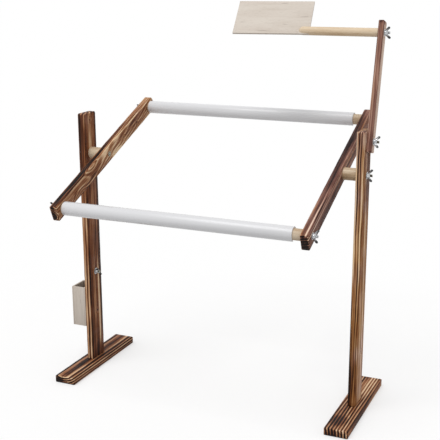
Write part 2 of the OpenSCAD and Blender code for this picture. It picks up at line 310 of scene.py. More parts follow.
# %% [markdown]
# ## Turning
# The dowels, washers and bolts are round. Half of the section is drawn as a line, and spinning
# it about Z makes the piece, as a lathe does. Where the line starts and ends on Z, the solid is
# closed; a ring needs a closed line.

# %% Lathe
def lathe(profile, steps, closed=False):
    """Turns a line of (radius, height) points about Z. A closed line makes a ring."""
    bm = bmesh.new()
    points = [bm.verts.new((radius, 0, height)) for radius, height in profile]
    pairs = list(zip(points, points[1:])) + ([(points[-1], points[0])] if closed else [])
    edges = [bm.edges.new(pair) for pair in pairs]
    bmesh.ops.spin(bm, geom=points + edges, cent=(0, 0, 0), axis=(0, 0, 1), angle=math.tau, steps=steps,
                   use_merge=True)
    bmesh.ops.remove_doubles(bm, verts=bm.verts, dist=MERGE)
    bmesh.ops.recalc_face_normals(bm, faces=bm.faces)
    return bm


print("the lathe closes its seam and its ends within", MERGE / MM, "mm")

# %% [markdown]
# ## Growth rings
# The boards are pine that a gas torch has scorched and a wire brush has cleaned. The soft early
# part of every growth ring burns dark and is brushed out a little, and the hard late part stays
# tan and stands proud. So the stripes on a face and the arcs on the end of the same board are
# one thing: rings round the tree's pith.
#
# A flat stripe texture could copy one face, but the others wouldn't agree with it. This finish
# is solid instead. It measures how far each point of the board lies from the pith line, divides
# that by the width of a ring, and colours by the part that is left over. Where the pith lies
# under the board, the wide face shows arches; where it lies beside it, straight stripes.

# %% Rings and knots
# A knot pushes the rings out by this many at its heart, and by none at this many times its size
KNOT_PUSH = 2.2
KNOT_REACH = 4


def own_point(material, place):
    """The shaded point in the own axes of the piece that this matrix places."""
    point = add(material, "TexCoord").outputs["Object"]
    return add(material, "Mapping", {"Vector": point, "Location": place.translation,
                                     "Rotation": place.to_euler()}, vector_type="TEXTURE")


def growth_rings(material, point, pith, ring, lean, wander, sway_rate, knots):
    """How many rings out from the pith a point lies, and where the sway of the trunk puts it."""
    # The trunk wasn't straight, so its rings sway by a few millimetres along the board
    slow = add(material, "VectorMath", {0: point, 1: sway_rate}, operation="MULTIPLY")
    sway = add(material, "TexNoise", {"Vector": slow, "Scale": 1, "Detail": 2}).outputs["Color"]
    sway = add(material, "VectorMath", {0: sway, 1: (0.5, 0.5, 0.5)}, operation="SUBTRACT")
    reach = wander * ring * MM
    bent = add(material, "VectorMath", {0: sway, 1: (reach, reach, 0), 2: point},
               operation="MULTIPLY_ADD")
    trunk = add(material, "Mapping", {"Vector": bent, "Location": (pith[0] * MM, pith[1] * MM, 0),
                                      "Rotation": (*lean, 0)}, vector_type="TEXTURE")
    across = add(material, "VectorMath", {0: trunk, 1: (1, 1, 0)}, operation="MULTIPLY")
    radius = add(material, "VectorMath", {0: across}, operation="LENGTH")
    age = add(material, "Math", {0: radius, 1: ring * MM}, operation="DIVIDE")
    for x, y, z, size in knots:
        away = add(material, "VectorMath", {0: point, 1: (x * MM, y * MM, z * MM)}, operation="DISTANCE")
        push = add(material, "MapRange", {"Value": away, "From Max": KNOT_REACH * size * MM,
                                          "To Min": KNOT_PUSH, "To Max": 0},
                   interpolation_type="SMOOTHERSTEP")
        age = add(material, "Math", {0: age, 1: push}, operation="ADD")
    return age, bent


print("a knot pushes the rings out by", KNOT_PUSH)

# %% [markdown]
# ## Early and late wood
# Within one ring the wood goes from early to late, slowly, and then starts again at once. A
# colour ramp draws that rise and fall over each whole number of rings.

# %% Late wood
# One ring from early to late wood, as light as the torch leaves it
RING = [(0, "#000000"), (0.2, "#303030"), (0.42, "#d0d0d0"), (0.6, "#ffffff"), (0.76, "#c0c0c0"),
        (0.86, "#101010")]


def late_wood(material, age):
    """How much late wood there is at this age. No two years are alike, so the rings differ."""
    year = add(material, "Math", {0: age}, operation="FLOOR")
    luck = add(material, "TexWhiteNoise", {"W": year}, noise_dimensions="1D")
    strength = add(material, "MapRange", {"Value": luck, "To Min": 0.5, "To Max": 1.1})
    phase = add(material, "Math", {0: age}, operation="FRACT")
    late = add(material, "ValToRGB", {"Fac": phase}, stops=RING)
    return add(material, "Math", {0: late, 1: strength}, operation="MULTIPLY")


print("a ring has", len(RING), "tones")

# %% [markdown]
# ## Torch and brush
# The torch lingers here and there, in patches a hand long that follow the board. The brush
# draws streaks a few millimetres wide, and between them lie the fibres. Both are noise that is
# stretched along the board.

# %% Burnt patches and streaks
# How fast each pattern changes along a board's own axes, per metre. Patches are 45 by 170 mm and
# streaks 4 by 250 mm. Fibres are a fifth of a millimetre wide, and are drawn at one, so that they
# show.
PATCH_RATE = (22, 22, 6)
STREAK_RATE = (230, 230, 4)
FIBRE_RATE = (900, 900, 16)


def torch_patches(material, point):
    """Two slow patterns: how much the torch has burnt the wood, and how warm its brown is."""
    slow = add(material, "VectorMath", {0: point, 1: PATCH_RATE}, operation="MULTIPLY")
    patches = add(material, "TexNoise", {"Vector": slow, "Scale": 1, "Detail": 3, "Roughness": 0.55})
    split = add(material, "SeparateColor", {0: patches.outputs["Color"]}).outputs
    return split["Red"], split["Green"]


def brush_marks(material, point, bent):
    """Two fine patterns: the streaks of the brush, and the fibres."""
    drawn = add(material, "VectorMath", {0: bent, 1: STREAK_RATE}, operation="MULTIPLY")
    streak = add(material, "TexNoise", {"Vector": drawn, "Scale": 1, "Detail": 2, "Roughness": 0.5})
    fine = add(material, "VectorMath", {0: point, 1: FIBRE_RATE}, operation="MULTIPLY")
    return streak, add(material, "TexNoise", {"Vector": fine, "Scale": 1, "Detail": 2, "Roughness": 0.6})


print("burnt patches are", round(1000 / PATCH_RATE[2]), "mm long")

# %% [markdown]
# ## Edges, ends and marks
# Edges and ends are burnt or worn more than faces. A board is a block, so how far a point lies
# under its faces is simple to work out: the middle one of the three depths is the distance from
# the nearest edge, and the depth along the board is the distance from its end.
#
# Marks are the long soft spots that the torch or the brush left on a board. Each is a stretched
# ball of its own, so it can be put just where the real board has one.

# %% Edges, ends and marks
EDGE_BAND = 3.2 * MM
END_BAND = 6 * MM


def edges_and_ends(material, point, size, warmth):
    """How much lighter or darker a board is near its edges, and near its ends."""
    apart = add(material, "VectorMath", {0: point}, operation="ABSOLUTE")
    depth = add(material, "VectorMath", {0: [s / 2 for s in size], 1: apart}, operation="SUBTRACT")
    across, through, along = add(material, "SeparateXYZ", {0: depth}).outputs
    low = add(material, "Math", {0: across, 1: through}, operation="MINIMUM")
    high = add(material, "Math", {0: across, 1: through}, operation="MAXIMUM")
    high = add(material, "Math", {0: high, 1: along}, operation="MINIMUM")
    middle = add(material, "Math", {0: low, 1: high}, operation="MAXIMUM")
    edge = add(material, "MapRange", {"Value": middle, "From Max": EDGE_BAND, "To Min": 1, "To Max": 0},
               interpolation_type="SMOOTHSTEP")
    # Along some stretches the edge is charred, and along others the brush has worn it light
    worn = add(material, "MapRange", {"Value": warmth, "From Min": 0.38, "From Max": 0.58,
                                      "To Min": -0.42, "To Max": 0.3})
    edge = add(material, "Math", {0: edge, 1: worn}, operation="MULTIPLY")
    end = add(material, "MapRange", {"Value": along, "From Max": END_BAND, "To Min": -0.22, "To Max": 0},
              interpolation_type="SMOOTHSTEP")
    return edge, end


def soft_mark(material, point, middle, reach, amount):
    """A soft mark, lighter or darker by an amount. It fades from a third of its reach outwards."""
    spot = add(material, "Mapping", {"Vector": point, "Location": [v * MM for v in middle],
                                     "Scale": [v * MM for v in reach]}, vector_type="TEXTURE")
    spot = add(material, "VectorMath", {0: spot}, operation="LENGTH")
    return add(material, "MapRange", {"Value": spot, "From Min": 0.35, "To Min": amount, "To Max": 0},
               interpolation_type="SMOOTHSTEP")


print("edges are burnt or worn for", EDGE_BAND / MM, "mm")

# %% [markdown]
# ## Browns
# The torch turns pine every brown from char to bare wood, and some of it golden and some of it
# rosy. So there are three ramps of brown, and each board mixes two of them.

# %% Browns
BROWN = [(0, "#120805"), (0.2, "#3a1f12"), (0.4, "#6c3d25"), (0.6, "#996441"), (0.8, "#bf946f"),
         (1, "#ebcba5")]
GOLDEN = [(0, "#1a0c04"), (0.2, "#4a2710"), (0.4, "#7d4a24"), (0.6, "#a97747"), (0.8, "#cfa274"),
          (1, "#f0d0a4")]
ROSY = [(0, "#1a0e0d"), (0.2, "#472f2a"), (0.4, "#775146"), (0.6, "#9d7464"), (0.8, "#c09c88"),
        (1, "#e8cdb9")]
print("each brown has", len(BROWN), "tones")

# %% [markdown]
# ## Torched pine
# The finish of a board adds up rings, patches, streaks, edges and marks to one number, from
# charred to bare. Its two ramps turn that into browns, and the warm patches choose between them.
#
# The brush leaves the late wood proud by a tenth of a millimetre, and a thin oil film makes it
# a little smoother than the char.

# %% Torched pine
KNOT_DARK = -0.8
# End grain takes the flame deeper, so its rings stand out more
END_CONTRAST = -2.2


def torched_pine(name, place, size, pith, ring, lean, tone, contrast, blush, wander, knots=(), marks=(),
                 palettes=(BROWN, ROSY), scorch=1.1, sway_rate=(9, 9, 5)):
    """The finish of one board, with lengths in millimetres.

    Pith is where the tree's middle lay across the board, ring a ring's width, and lean how the trunk
    leaned to it, in radians. Tone is how light the wood is, contrast how much its rings show, and
    scorch how deeply its patches are burnt. Blush gives the second palette more room. Wander is how
    many ring widths the trunk sways by. A knot is a place and a size. A mark is a place, how far it
    reaches each way, and how much lighter it is.
    """
    material, shader = new_material(name)
    point = own_point(material, place)
    age, bent = growth_rings(material, point, pith, ring, lean, wander, sway_rate, knots)
    late = late_wood(material, age)
    burn, warmth = torch_patches(material, point)
    streak, fibre = brush_marks(material, point, bent)
    edge, end = edges_and_ends(material, point, size, warmth)

    strength = add(material, "Math", {0: end, 1: END_CONTRAST, 2: contrast}, operation="MULTIPLY_ADD")
    light = add(material, "Math", {0: late, 1: strength, 2: tone}, operation="MULTIPLY_ADD")
    parts = [edge, end]
    for source, swing in ((burn, -scorch), (streak, 1.0), (fibre, 0.75)):
        parts.append(add(material, "Math", {0: source, 1: swing, 2: -swing / 2},
                         operation="MULTIPLY_ADD"))
    parts += [soft_mark(material, bent, *mark) for mark in marks]
    parts += [soft_mark(material, point, (x, y, z), (heart, heart, heart), KNOT_DARK)
              for x, y, z, heart in knots]
    for part in parts:
        light = add(material, "Math", {0: light, 1: part}, operation="ADD")

    first, second = [add(material, "ValToRGB", {"Fac": light}, stops=palette) for palette in palettes]
    sooner = 0.3 * blush
    share = add(material, "MapRange", {"Value": warmth, "From Min": 0.62 - sooner,
                                       "From Max": 0.8 - sooner})
    height = add(material, "Math", {0: fibre, 1: 0.6, 2: late}, operation="MULTIPLY_ADD")
    feed(material, shader, {
        "Base Color": add(material, "Mix", {0: share, 6: first, 7: second}, data_type="RGBA"),
        "Normal": add(material, "Bump", {"Height": height, "Strength": 0.5, "Distance": 0.25 * MM}),
        "Roughness": add(material, "MapRange", {"Value": late, "To Min": 0.66, "To Max": 0.5}),
        "IOR": 1.5, "Specular IOR Level": 0.14})
    return material


print("a knot's heart is darker by", -KNOT_DARK)

# %% [markdown]
# ## Boards
# A board starts as a block. Its own X runs across its width, its own Y through its thickness
# and its own Z along it. The corners that were cut round with a saw are rounded first, and then
# every sharp edge that is left, because a torch and a brush leave no crisp edge. Long edges are
# divided, and the rounded ones are pushed in by a little noise: that is the uneven wear that
# the eye looks for on real wood.

# %% Board builder
EASE = 1.9 * MM
WEAR = 0.45 * MM
WEAR_STEP = 12 * MM
# Dents change over about 18 mm, which is this many a metre
WEAR_RATE = 55
BORE = 3.05 * MM
DRILL_LENGTH = 60 * MM
# Just short of half a board's size, which picks out its corners
NEAR_CORNER = 0.49


def bore(bm, across, along):
    """Bores a hole through the thickness of a board, at a place across and along it."""
    drill = bmesh.new()
    bmesh.ops.create_cone(drill, cap_ends=True, segments=32, radius1=BORE, radius2=BORE,
                          depth=DRILL_LENGTH)
    through = Matrix.Translation((across, 0, along)) @ Matrix.Rotation(math.pi / 2, 4, "X")
    return boolean(bm, placed(drill, through), "DIFFERENCE")


def board_mesh(size, corners=(), holes=(), ease=EASE, wear=WEAR):
    """A board in its own axes. A corner is (side across, end, radius) and a hole (across, along)."""
    bm = block(*size)
    for side, end, radius in corners:
        # The edge at that corner which runs through the thickness
        edges = [e for e in bm.edges if abs(e.verts[0].co.y - e.verts[1].co.y) > size.y / 2
                 and all(v.co.x * side > NEAR_CORNER * size.x for v in e.verts)
                 and all(v.co.z * end > NEAR_CORNER * size.z for v in e.verts)]
        round_edges(bm, edges, radius, segments=8)
    round_edges(bm, sharp_edges(bm), ease, segments=3)
    long = [e for e in bm.edges if abs(e.verts[0].co.z - e.verts[1].co.z) > size.z / 2]
    bmesh.ops.subdivide_edges(bm, edges=long, cuts=int(size.z / WEAR_STEP), use_grid_fill=True)
    # Only the rounding of the long edges is worn. The size shifts the noise, so that boards of
    # different sizes wear differently.
    rounded = 0.9 * ease
    for v in bm.verts:
        if abs(v.co.x) > size.x / 2 - rounded and abs(v.co.y) > size.y / 2 - rounded:
            dent = max(0, wear * (0.5 + noise.noise(v.co * WEAR_RATE + 10 * size)))
            v.co.x -= math.copysign(dent, v.co.x)
            v.co.y -= math.copysign(dent, v.co.y)
    for across, along in holes:
        bm = bore(bm, across, along)
    return bm


print("boards are eased by", EASE / MM, "mm")

# %% [markdown]
# ## Screw holes
# Two screws enter the sole of each foot, in holes that are countersunk for their heads. Such a
# hole is turned on the lathe as a solid, and is then cut out of the foot.

# %% Screw holes
SCREW_R, SCREW_HEAD_R, SCREW_HEAD_H = 2 * MM, 4 * MM, 2 * MM
SCREW_SINK, SCREW_ROOM = 1 * MM, 0.1 * MM
SCREW_HOLE = 20 * MM


def middle_and_extent(node):
    """The middle of a CAD node's box, and its size."""
    low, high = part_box(node)
    return (low + high) / 2, high - low


def screw_places(side):
    """Where the two screws of a leg enter the sole of its foot."""
    x = middle_and_extent(side + "_foot")[0].x
    y = middle_and_extent(side + "_upright")[1].y / 4
    return {"front": Vector((x, -y, 0)), "back": Vector((x, y, 0))}


def countersink():
    """The hole of a screw, up from the sole at z = 0."""
    head, shank = SCREW_HEAD_R + SCREW_ROOM, SCREW_R + SCREW_ROOM
    return lathe([(0, -MM), (head, -MM), (head, SCREW_SINK), (shank, SCREW_SINK + SCREW_HEAD_H),
                  (shank, SCREW_HOLE), (0, SCREW_HOLE)], steps=40)


print("screw holes are", round(SCREW_HOLE / MM), "mm deep")

# %% [markdown]
# ## The feet
# Each leg is a foot that lies flat and an upright that stands on its middle. The boxes of the
# CAD nodes give their sizes and places. The left foot was cut close to the pith, so its end
# shows arcs; the right one further out, so its end shows upright bands.

# %% Feet
foot_looks = {
    "left": {
        "pith": (-3, -45), "ring": 5.8, "lean": (0, 0.01), "tone": 0.14, "contrast": 0.72, "blush": 0.2,
        "wander": 0.7,
        "marks": [((-6, -9, -146), (24, 7, 12), 0.1), ((-18, 3, -152), (20, 14, 9), -0.6),
                  ((-2, -10, 20), (30, 8, 170), -0.1), ((27, -6, 0), (4, 3, 400), 0.2)]},
    "right": {
        "pith": (-90, 10), "ring": 7, "lean": (0, 0.01), "tone": 0.24, "contrast": 0.74, "blush": 0.2,
        "wander": 0.6,
        "marks": [((-6, -9, -104), (28, 8, 36), -0.33), ((28, 2, -20), (7, 14, 120), -0.12),
                  ((8, -9, 95), (26, 7, 90), 0.2), ((4, 5, -151), (44, 15, 9), -0.25),
                  ((28, 2, -145), (7, 14, 45), 0.25)]},
}
for side, look in foot_looks.items():
    centre, extent = middle_and_extent(side + "_foot")
    size = Vector((extent.x, extent.z, extent.y))
    place = axes(X, -Z, Y, centre)
    pine = torched_pine("torched pine, " + side + " foot", place, size, **look)
    mesh = board_mesh(size)
    for where in screw_places(side).values():
        drill = placed(countersink(), place.inverted() @ Matrix.Translation(where))
        mesh = boolean(mesh, drill, "DIFFERENCE")
    piece(side + "_foot_board", mesh, place, pine, "legs", side + "_foot")
    print(side, "foot", [round(v / MM) for v in size])

# %% [markdown]
# ## The uprights
# Both uprights have round corners at the top and two bolt holes: one for the pivot of the work
# frame, and one for the mast on the right or the tool box on the left. The joints of the packed
# model say where the bolts are.

# %% Uprights
UPRIGHT_CORNER = 5 * MM
pivot = joints["frame_tilt"]
mast_bolt = joints["mast_swing"]
box_bolt = joints["box_swing"]

upright_looks = {
    "left": {
        "pith": (-40, 60), "ring": 9, "lean": (0.004, 0.004), "tone": 0.33, "contrast": 0.26,
        "blush": 0.1, "wander": 0.5, "knots": [(-0.8, -9, 302, 3), (2, -9, -193, 3)],
        "marks": [((-28, -3.5, -160), (5, 3, 400), 0.55), ((-28, 7, -200), (9, 6, 420), 0.5),
                  ((-28, 1.2, -60), (5, 2, 500), -0.2), ((-28, -9, -80), (4, 3, 500), -0.35),
                  ((30, -9, -170), (14, 14, 330), -0.5), ((12, -9, -175), (4.2, 6, 165), 0.9),
                  ((1, -9, -20), (2.4, 4, 260), 0.2), ((-14, -9, -60), (15, 4, 280), 0.1),
                  ((28, -9, 160), (8, 6, 260), -0.3), ((4, -9, -322), (32, 6, 60), -0.28),
                  ((-28, 0, -310), (5, 9, 50), 0.15), ((-28, 3, 250), (8, 8, 110), -0.04),
                  ((-4, -9, 280), (22, 5, 90), 0.22)]},
    "right": {
        "pith": (-20, -95), "ring": 4.6, "lean": (0.01, 0.006), "tone": 0.44, "contrast": 0.44,
        "palettes": (GOLDEN, ROSY), "blush": 0.5, "wander": 2, "knots": [(8.7, -9, -195, 2.5)],
        "marks": [((-28, 8, 130), (6, 4, 330), 0.6), ((-28, 3.5, 150), (5, 1.6, 260), -0.5),
                  ((-28, 0.5, 150), (5, 1.6, 260), 0.3), ((-28, -2.2, 150), (5, 1.2, 300), -0.5),
                  ((-28, -5.5, 130), (5, 2, 320), 0.4), ((0, -9, -150), (28, 5, 330), 0.15),
                  ((6, -9, 230), (28, 6, 110), -0.35), ((-28, 9, -230), (5, 4, 320), -0.9),
                  ((-28, 4.6, -190), (5, 1.3, 190), -0.45), ((-28, 1.2, -250), (5, 1.1, 170), -0.4),
                  ((-28, -2, -140), (5, 1.2, 230), -0.4), ((-28, -6, -220), (5, 1.2, 150), -0.4)]},
}
for side, look in upright_looks.items():
    centre, extent = middle_and_extent(side + "_upright")
    size = Vector((extent.y, extent.x, extent.z))
    place = axes(Y, -X, Z, centre)
    pine = torched_pine("torched pine, " + side + " upright", place, size, **look)
    second = box_bolt if side == "left" else mast_bolt
    mesh = board_mesh(size, corners=[(-1, 1, UPRIGHT_CORNER), (1, 1, UPRIGHT_CORNER)],
                      holes=[(0, pivot.z - centre.z), (0, second.z - centre.z)])
    piece(side + "_leg_board", mesh, place, pine, "legs", side + "_upright")
    print(side, "upright", [round(v / MM) for v in size])

# %% [markdown]
# ## The rails
# The two rails are the sides of the work frame. They slope with it, so their own axes are
# turned about X. The slope is a value of this script, and the hole in the middle of a rail lies
# on the pivot. The inner face of the left rail has knots, and its rings flow round them.

# %% Rails
TILT = math.radians(22.5)
RAIL = Vector((38 * MM, 18 * MM, 510 * MM))
RAIL_CORNER = 12 * MM
ROLLER_REACH = 230 * MM
frame_up = Vector((0, -math.sin(TILT), math.cos(TILT)))
frame_back = Vector((0, math.cos(TILT), math.sin(TILT)))


def at(x, point):
    """A point with another X."""
    return Vector((x, point.y, point.z))


rail_looks = {
    "left": {
        "pith": (12, -22), "ring": 4.6, "lean": (0.06, 0.07), "tone": 0.54, "contrast": 0.42,
        "blush": 0.1, "wander": 2, "sway_rate": (14, 14, 8),
        "knots": [(-0.7, 9, 153, 2.6), (0.3, 9, 80, 2.2), (-34, 9, -150, 14), (34, 9, -85, 13)],
        "marks": [((19, -2, -120), (7, 8, 300), -0.6), ((18, 9, 110), (1.8, 2, 200), 0.4),
                  ((-6, 9, -150), (12, 5, 85), 0.1), ((-15, 9, 36), (8, 6, 34), 0.9),
                  ((4, 9, 150), (14, 5, 130), -0.15), ((0, -3, -257), (30, 10, 8), -0.62),
                  ((19, 4, -170), (6, 9, 120), -0.3)]},
    "right": {
        "pith": (-90, 20), "ring": 6.5, "lean": (0, 0.01), "tone": 0.42, "contrast": 0.2,
        "palettes": (ROSY, BROWN), "blush": 0.4, "wander": 0.9, "knots": [(2.6, 9, 75, 2.2)],
        "marks": [((19, 4, -250), (6, 2.8, 190), 0.75), ((19, -3, 0), (7, 9, 900), -0.2),
                  ((19, 0, 40), (8, 12, 110), -0.12), ((8, 9, -100), (3, 4, 320), 0.35),
                  ((-2, 9, 50), (4, 4, 320), -0.25), ((-19, 9, 0), (5, 5, 270), -0.4),
                  ((0, 0, -257), (30, 14, 8), -0.5)]},
}
for side, look in rail_looks.items():
    centre = at(middle_and_extent(side + "_rail")[0].x, pivot)
    place = axes(frame_up, X, frame_back, centre)
    pine = torched_pine("torched pine, " + side + " rail", place, RAIL, **look)
    mesh = board_mesh(RAIL, corners=[(1, 1, RAIL_CORNER)],
                      holes=[(0, 0), (0, ROLLER_REACH), (0, -ROLLER_REACH)])
    piece(side + "_rail_board", mesh, place, pine, "work_frame", side + "_rail")
print("rails slope", round(math.degrees(TILT), 1), "degrees")

# %% [markdown]
# ## The mast
# The mast is a thinner board that leans back from its bolt at the top of the right upright. A
# heel stays below the bolt, and the arm's bolt goes through near its top.

# %% Mast
LEAN = math.radians(14)
MAST = Vector((28 * MM, 12 * MM, 284 * MM))
MAST_CORNER = 8 * MM
MAST_HEEL = 24 * MM
ARM_RISE = 235 * MM
mast_up = Vector((0, math.sin(LEAN), math.cos(LEAN)))
mast_back = Vector((0, math.cos(LEAN), -math.sin(LEAN)))

mast_look = {
    "pith": (30, 26), "ring": 6.5, "lean": (0.01, 0.01), "tone": 0.52, "contrast": 0.22, "scorch": 0.6,
    "palettes": (ROSY, BROWN), "blush": 0.2, "wander": 1,
    "marks": [((-14, 6, -110), (5, 3, 90), 0.35), ((-14, 6, 70), (5, 3.5, 130), -0.4),
              ((2, -6, -20), (15, 4, 400), 0.42), ((0, 0, 143), (22, 22, 14), -0.4)]}
centre = at(middle_and_extent("mast")[0].x, mast_bolt) + mast_up * (MAST.z / 2 - MAST_HEEL)
place = axes(mast_back, -X, mast_up, centre)
pine = torched_pine("torched pine, mast", place, MAST, **mast_look)
mesh = board_mesh(MAST, corners=[(1, 1, MAST_CORNER)],
                  holes=[(0, MAST_HEEL - MAST.z / 2), (0, MAST_HEEL + ARM_RISE - MAST.z / 2)])
piece("mast_board", mesh, place, pine, "mast_body", "mast")
print("the mast leans", round(math.degrees(LEAN), 1), "degrees")

# %% [markdown]
# ## Birch
# The rollers, the spacers and the arm are bare birch dowels, sanded but not torched. Birch is
# pale and even: short fine pores, faint long streaks, and hardly any contrast between its rings.
# The grain runs along the dowel, which is X on this stand, so the noise is stretched along X.

# %% Birch
BIRCH_LIGHT = "#e6d6be"
# Pores are this many times as fine as the streaks. They are lines a few millimetres long, and are
# drawn three times as wide as they are, so that they show.
PORE_RATE = 18


def birch(name, pale, deep, stretch=(5, 90, 90)):
    """Bare sanded birch. The stretch is how fast the grain changes along each axis, per metre."""
    material, shader = new_material(name)
    point = add(material, "TexCoord").outputs["Object"]
    along = add(material, "VectorMath", {0: point, 1: stretch}, operation="MULTIPLY")
    streak = add(material, "TexNoise", {"Vector": along, "Scale": 1, "Detail": 4, "Roughness": 0.6})
    tone = add(material, "ValToRGB", {"Fac": streak},
               stops=[(0.3, deep), (0.5, pale), (0.72, BIRCH_LIGHT)])
    pores = add(material, "TexNoise", {"Vector": along, "Scale": PORE_RATE, "Detail": 1})
    dark = add(material, "MapRange", {"Value": pores, "From Min": 0.56, "From Max": 0.72, "To Max": 0.3})
    feed(material, shader, {
        "Base Color": add(material, "Mix", {0: dark, 6: tone, 7: linear(deep)}, data_type="RGBA",
                          blend_type="MULTIPLY"),
        "Normal": add(material, "Bump", {"Height": pores, "Strength": 0.25, "Distance": 0.2 * MM}),
        "Roughness": 0.62, "Specular IOR Level": 0.3})
    return material


roller_birch = birch("birch dowel", "#d2bea4", "#b89c7c")
spacer_birch = {
    "left": birch("birch dowel, spacer", "#d8c4a8", "#b79c7c", stretch=(8, 120, 120)),
    "right": birch("birch dowel, handled", "#bda484", "#957a5c", stretch=(8, 120, 120)),
}
arm_birch = birch("birch dowel, arm", "#e2ccae", "#cdb08d", stretch=(7, 110, 110))
print("birch finishes", [made.name for made in (roller_birch, *spacer_birch.values(), arm_birch)])

# %% [markdown]
# ## Rollers and spacers
# A dowel is a lathe's work, so it is drawn as half a section and spun. The section takes in the
# hole for its bolt, and its rims are eased by about half a millimetre. The two rollers carry the
# cloth, and a short spacer keeps each rail away from its upright.

# %% Rollers and spacers
HANGER_DEPTH = 28 * MM
RIM = 0.6 * MM
SPACER_RIM = 0.8 * MM


def both_ends(lower, length):
    """The section of a dowel from the line at its lower end, which is mirrored for its upper end."""
    return lower + [(radius, length - height) for radius, height in reversed(lower)]


def along_x(node):
    """The matrix that lays a piece's own Z along X, from the left end of a CAD node's box."""
    return axes(Y, Z, X, at(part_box(node)[0].x, middle_and_extent(node)[0]))


for end in ("front", "back"):
    node = end + "_dowel"
    extent = middle_and_extent(node)[1]
    outer = extent.z / 2
    lower = [(0, HANGER_DEPTH), (BORE, HANGER_DEPTH), (BORE, 0), (outer - RIM, 0),
             (outer - 0.3 * RIM, 0.3 * RIM), (outer, RIM)]
    mesh = lathe(both_ends(lower, extent.x), steps=96)
    piece(end + "_roller_dowel", mesh, along_x(node), roller_birch, end + "_roller", node)
for side in ("left", "right"):
    node = side + "_spacer"
    extent = middle_and_extent(node)[1]
    outer = extent.z / 2
    lower = [(BORE, 0), (outer - SPACER_RIM, 0), (outer, SPACER_RIM)]
    mesh = lathe(both_ends(lower, extent.x), steps=72, closed=True)
    piece(side + "_spacer_dowel", mesh, along_x(node), spacer_birch[side], "legs", node)
print("rollers", round(middle_and_extent("front_dowel")[1].x / MM), "mm long")

# %% [markdown]
# ## The arm
# The arm is a thinner dowel. Its free end is rounded like a ball, and a saw kerf through that
# end holds the pattern plate. The ball is part of the same spun section; the kerf is a slot cut
# with a Boolean, in the plane of the plate.

# %% Arm with its kerf
PLATE = Vector((174 * MM, 4 * MM, 105 * MM))
PLATE_BELOW = 11 * MM
PLATE_TURN = math.radians(10)
PLATE_TIP = math.radians(-50)
KERF = 24 * MM
KERF_ROOM = 0.1 * MM
ARM_LENGTH = 181 * MM
ARM_R = 9.5 * MM

arm_end = at(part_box("mast")[0].x, joints["arm_turn"])
tip_x = arm_end.x - ARM_LENGTH
kerf_middle = at(tip_x + KERF / 2, arm_end)
plate_turn = Matrix.Rotation(PLATE_TURN, 3, "Z") @ Matrix.Rotation(PLATE_TIP, 3, "X")
plate_place = Matrix.Translation(kerf_middle) @ plate_turn.to_4x4()

quarter = [math.radians(degrees) for degrees in range(90, -1, -10)]
ball = [(ARM_R * math.cos(a), ARM_R - ARM_R * math.sin(a)) for a in quarter]
rod = ball + [(ARM_R, ARM_LENGTH - RIM), (ARM_R - RIM, ARM_LENGTH), (BORE, ARM_LENGTH),
              (BORE, ARM_LENGTH - HANGER_DEPTH), (0, ARM_LENGTH - HANGER_DEPTH)]
rod_place = axes(Y, Z, X, at(tip_x, arm_end))
saw = placed(block(2 * KERF, PLATE.y + KERF_ROOM, 4 * ARM_R),
             Matrix.Translation(((KERF_ROOM - KERF) / 2, 0, 0)))
saw = placed(saw, rod_place.inverted() @ plate_place)
mesh = boolean(lathe(rod, steps=64), saw, "DIFFERENCE")
piece("arm_rod", mesh, rod_place, arm_birch, "arm_body", "arm_dowel")
print("arm", round(ARM_LENGTH / MM), "mm long")

# %% [markdown]
# ## Veneer
# The pattern plate and the tool box are thin birch plywood. Its faces are pale peeled veneer,
# where the grain is drawn out into wide, faint waves. Fine fibres and a few thin dark mineral
# streaks lie over them. All three are the same stretched noise, at different scales.

# %% Veneer
# How many times as fine as the grain the fibres and the mineral streaks are
PLY_FIBRE_RATE = 14
MINERAL_RATE = 3.2


def veneer(material, point, face, grain, waves):
    """The colour of a peeled face, and its fibres."""
    drawn = add(material, "VectorMath", {0: point, 1: grain}, operation="MULTIPLY")
    wave = add(material, "TexNoise", {"Vector": drawn, "Scale": 1, "Detail": 3, "Distortion": waves})
    colour = add(material, "ValToRGB", {"Fac": wave}, stops=list(zip((0.3, 0.5, 0.72), face)))
    fibre = add(material, "TexNoise", {"Vector": drawn, "Scale": PLY_FIBRE_RATE, "Detail": 2})
    line = add(material, "MapRange", {"Value": fibre, "From Min": 0.55, "From Max": 0.75,
                                      "To Max": 0.22})
    colour = add(material, "Mix", {0: line, 6: colour, 7: linear("#a08f7d")}, data_type="RGBA",
                 blend_type="MULTIPLY")
    rare = add(material, "TexNoise", {"Vector": drawn, "Scale": MINERAL_RATE, "Detail": 1})
    dash = add(material, "MapRange", {"Value": rare, "From Min": 0.69, "From Max": 0.76, "To Max": 0.5})
    return add(material, "Mix", {0: dash, 6: colour, 7: linear("#877a74")}, data_type="RGBA"), fibre


print("mineral streaks are", MINERAL_RATE, "times as fine as the grain")

# %% [markdown]
# ## Plies
# On the edges of the plywood its plies show: the core runs the other way and turns its darker
# end grain outwards. The finish is solid again. It asks how deep in the sheet a point lies, so
# the edge shows the plies by itself, and the plate needs no other material there.

# %% Plywood and the pattern plate
PLY_EASE = 0.4 * MM
PLATE_VENEER = ("#d0c5b9", "#d7cdc2", "#dcd3c8")
# Waves 140 mm long and 17 mm wide, as changes per metre along the plate's own axes
PLATE_GRAIN = (7, 7, 60)


